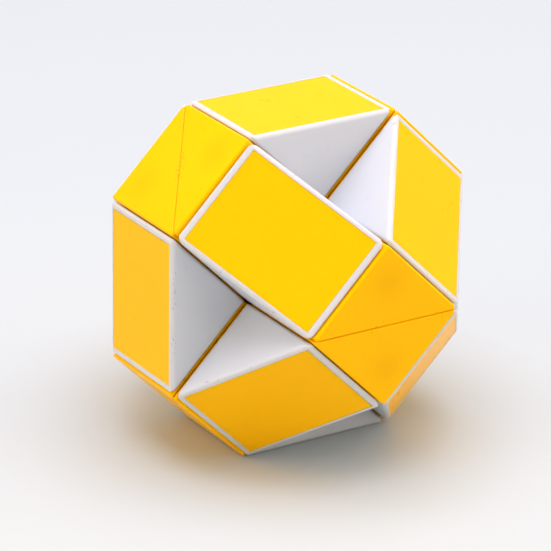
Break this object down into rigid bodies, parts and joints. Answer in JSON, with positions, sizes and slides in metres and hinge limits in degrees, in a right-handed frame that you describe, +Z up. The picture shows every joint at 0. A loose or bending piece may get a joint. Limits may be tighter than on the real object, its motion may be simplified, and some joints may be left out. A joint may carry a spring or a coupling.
{
  "type": "twisty snake puzzle",
  "caption": "Chain of right-angled triangular wedges in white and yellow plastic on sprung swivels, folded into a hollow ball and able to unfold into a straight bar.",
  "frame": {"origin": "centre of the footprint, on the surface that the ball stands on", "axes": "+Z up, square to the panel of wedge 11, on which the ball stands; +X along the ball's widest axis, from one yellow square face to the opposite one; +Y completes the right-handed set"},
  "size_m": [0.0628, 0.0592, 0.0593],
  "materials": {
    "white_plastic": "satin gloss moulded white plastic",
    "yellow_plastic": "satin gloss moulded yellow plastic",
    "yellow_panel": "glossy moulded yellow plastic",
    "screw_steel": "zinc-plated steel"
  },
  "bodies": {
    "wedge_01": {"white_shell_01": "white_plastic", "yellow_panel_01": "yellow_panel"},
    "wedge_02": {"yellow_shell_02": "yellow_plastic", "yellow_cover_02": "yellow_plastic", "pivot_screws_02": "screw_steel"},
    "wedge_03": {"white_shell_03": "white_plastic", "yellow_panel_03": "yellow_panel"},
    "wedge_04": {"yellow_shell_04": "yellow_plastic", "yellow_cover_04": "yellow_plastic", "pivot_screws_04": "screw_steel"},
    "wedge_05": {"white_shell_05": "white_plastic", "yellow_panel_05": "yellow_panel"},
    "wedge_06": {"yellow_shell_06": "yellow_plastic", "yellow_cover_06": "yellow_plastic", "pivot_screws_06": "screw_steel"},
    "wedge_07": {"white_shell_07": "white_plastic", "yellow_panel_07": "yellow_panel"},
    "wedge_08": {"yellow_shell_08": "yellow_plastic", "yellow_cover_08": "yellow_plastic", "pivot_screws_08": "screw_steel"},
    "wedge_09": {"white_shell_09": "white_plastic", "yellow_panel_09": "yellow_panel"},
    "wedge_10": {"yellow_shell_10": "yellow_plastic", "yellow_cover_10": "yellow_plastic", "pivot_screws_10": "screw_steel"},
    "wedge_11": {"white_shell_11": "white_plastic", "yellow_panel_11": "yellow_panel"},
    "wedge_12": {"yellow_shell_12": "yellow_plastic", "yellow_cover_12": "yellow_plastic", "pivot_screws_12": "screw_steel"},
    "wedge_13": {"white_shell_13": "white_plastic", "yellow_panel_13": "yellow_panel"},
    "wedge_14": {"yellow_shell_14": "yellow_plastic", "yellow_cover_14": "yellow_plastic", "pivot_screws_14": "screw_steel"},
    "wedge_15": {"white_shell_15": "white_plastic", "yellow_panel_15": "yellow_panel"},
    "wedge_16": {"yellow_shell_16": "yellow_plastic", "yellow_cover_16": "yellow_plastic", "pivot_screws_16": "screw_steel"},
    "wedge_17": {"white_shell_17": "white_plastic", "yellow_panel_17": "yellow_panel"},
    "wedge_18": {"yellow_shell_18": "yellow_plastic", "yellow_cover_18": "yellow_plastic", "pivot_screws_18": "screw_steel"},
    "wedge_19": {"white_shell_19": "white_plastic", "yellow_panel_19": "yellow_panel"},
    "wedge_20": {"yellow_shell_20": "yellow_plastic", "yellow_cover_20": "yellow_plastic", "pivot_screws_20": "screw_steel"},
    "wedge_21": {"white_shell_21": "white_plastic", "yellow_panel_21": "yellow_panel"},
    "wedge_22": {"yellow_shell_22": "yellow_plastic", "yellow_cover_22": "yellow_plastic", "pivot_screws_22": "screw_steel"},
    "wedge_23": {"white_shell_23": "white_plastic", "yellow_panel_23": "yellow_panel"},
    "wedge_24": {"yellow_shell_24": "yellow_plastic", "yellow_cover_24": "yellow_plastic", "pivot_screws_24": "screw_steel"}
  },
  "joints": [
    {"name": "swivel_11", "type": "hinge", "parent": "wedge_11", "child": "wedge_12", "pos_m": [0, -0.00742, 0.00737], "axis": [0, 0.7071, -0.7071], "range_deg": [0, 90]},
    {"name": "swivel_12", "type": "hinge", "parent": "wedge_12", "child": "wedge_13", "pos_m": [0.0105, -0.01485, 0.0148], "axis": [1, 0, 0], "range_deg": [0, 90]},
    {"name": "swivel_13", "type": "hinge", "parent": "wedge_13", "child": "wedge_14", "pos_m": [0.021, -0.00742, 0.02222], "axis": [0, -0.7071, -0.7071], "range_deg": [0, 90]},
    {"name": "swivel_14", "type": "hinge", "parent": "wedge_14", "child": "wedge_15", "pos_m": [0.021, 0.00742, 0.02222], "axis": [0, 0.7071, -0.7071], "range_deg": [0, 90]},
    {"name": "swivel_15", "type": "hinge", "parent": "wedge_15", "child": "wedge_16", "pos_m": [0.0105, 0.01485, 0.0148], "axis": [-1, 0, 0], "range_deg": [0, 90]},
    {"name": "swivel_16", "type": "hinge", "parent": "wedge_16", "child": "wedge_17", "pos_m": [0, 0.02227, 0.02222], "axis": [0, -0.7071, -0.7071], "range_deg": [0, 90]},
    {"name": "swivel_17", "type": "hinge", "parent": "wedge_17", "child": "wedge_18", "pos_m": [0, 0.02227, 0.03707], "axis": [0, -0.7071, 0.7071], "range_deg": [0, 90]},
    {"name": "swivel_18", "type": "hinge", "parent": "wedge_18", "child": "wedge_19", "pos_m": [0.0105, 0.01485, 0.0445], "axis": [-1, 0, 0], "range_deg": [0, 90]},
    {"name": "swivel_19", "type": "hinge", "parent": "wedge_19", "child": "wedge_20", "pos_m": [0.021, 0.00742, 0.03707], "axis": [0, 0.7071, 0.7071], "range_deg": [0, 90]},
    {"name": "swivel_20", "type": "hinge", "parent": "wedge_20", "child": "wedge_21", "pos_m": [0.021, -0.00742, 0.03707], "axis": [0, -0.7071, 0.7071], "range_deg": [0, 90]},
    {"name": "swivel_21", "type": "hinge", "parent": "wedge_21", "child": "wedge_22", "pos_m": [0.0105, -0.01485, 0.0445], "axis": [1, 0, 0], "range_deg": [0, 90]},
    {"name": "swivel_22", "type": "hinge", "parent": "wedge_22", "child": "wedge_23", "pos_m": [0, -0.00742, 0.05192], "axis": [0, 0.7071, 0.7071], "range_deg": [0, 90]},
    {"name": "swivel_23", "type": "hinge", "parent": "wedge_23", "child": "wedge_24", "pos_m": [0, 0.00742, 0.05192], "axis": [0, 0.7071, -0.7071], "range_deg": [0, 90]},
    {"name": "swivel_10", "type": "hinge", "parent": "wedge_11", "child": "wedge_10", "pos_m": [0, 0.00742, 0.00737], "axis": [0, -0.7071, -0.7071], "range_deg": [0, 90]},
    {"name": "swivel_09", "type": "hinge", "parent": "wedge_10", "child": "wedge_09", "pos_m": [-0.0105, 0.01485, 0.0148], "axis": [-1, 0, 0], "range_deg": [0, 90]},
    {"name": "swivel_08", "type": "hinge", "parent": "wedge_09", "child": "wedge_08", "pos_m": [-0.021, 0.00742, 0.02222], "axis": [0, 0.7071, -0.7071], "range_deg": [0, 90]},
    {"name": "swivel_07", "type": "hinge", "parent": "wedge_08", "child": "wedge_07", "pos_m": [-0.021, -0.00742, 0.02222], "axis": [0, -0.7071, -0.7071], "range_deg": [0, 90]},
    {"name": "swivel_06", "type": "hinge", "parent": "wedge_07", "child": "wedge_06", "pos_m": [-0.0105, -0.01485, 0.0148], "axis": [1, 0, 0], "range_deg": [0, 90]},
    {"name": "swivel_05", "type": "hinge", "parent": "wedge_06", "child": "wedge_05", "pos_m": [0, -0.02227, 0.02222], "axis": [0, 0.7071, -0.7071], "range_deg": [0, 90]},
    {"name": "swivel_04", "type": "hinge", "parent": "wedge_05", "child": "wedge_04", "pos_m": [0, -0.02227, 0.03707], "axis": [0, 0.7071, 0.7071], "range_deg": [0, 90]},
    {"name": "swivel_03", "type": "hinge", "parent": "wedge_04", "child": "wedge_03", "pos_m": [-0.0105, -0.01485, 0.0445], "axis": [1, 0, 0], "range_deg": [0, 90]},
    {"name": "swivel_02", "type": "hinge", "parent": "wedge_03", "child": "wedge_02", "pos_m": [-0.021, -0.00742, 0.03707], "axis": [0, -0.7071, 0.7071], "range_deg": [0, 90]},
    {"name": "swivel_01", "type": "hinge", "parent": "wedge_02", "child": "wedge_01", "pos_m": [-0.021, 0.00742, 0.03707], "axis": [0, 0.7071, 0.7071], "range_deg": [0, 90]}
  ],
  "couplings": [
    {"joint": "swivel_01", "follows": "swivel_11", "ratio": 1},
    {"joint": "swivel_05", "follows": "swivel_11", "ratio": 1},
    {"joint": "swivel_07", "follows": "swivel_11", "ratio": 1},
    {"joint": "swivel_09", "follows": "swivel_11", "ratio": 1},
    {"joint": "swivel_13", "follows": "swivel_11", "ratio": 1},
    {"joint": "swivel_15", "follows": "swivel_11", "ratio": 1},
    {"joint": "swivel_17", "follows": "swivel_11", "ratio": 1},
    {"joint": "swivel_19", "follows": "swivel_11", "ratio": 1},
    {"joint": "swivel_21", "follows": "swivel_11", "ratio": 1},
    {"joint": "swivel_23", "follows": "swivel_11", "ratio": 1},
    {"joint": "swivel_02", "follows": "swivel_08", "ratio": 1},
    {"joint": "swivel_04", "follows": "swivel_08", "ratio": 1},
    {"joint": "swivel_06", "follows": "swivel_08", "ratio": 1},
    {"joint": "swivel_22", "follows": "swivel_08", "ratio": 1},
    {"joint": "swivel_12", "follows": "swivel_10", "ratio": 1},
    {"joint": "swivel_14", "follows": "swivel_10", "ratio": 1},
    {"joint": "swivel_16", "follows": "swivel_10", "ratio": 1},
    {"joint": "swivel_18", "follows": "swivel_10", "ratio": 1},
    {"joint": "swivel_20", "follows": "swivel_10", "ratio": 1}
  ]
}
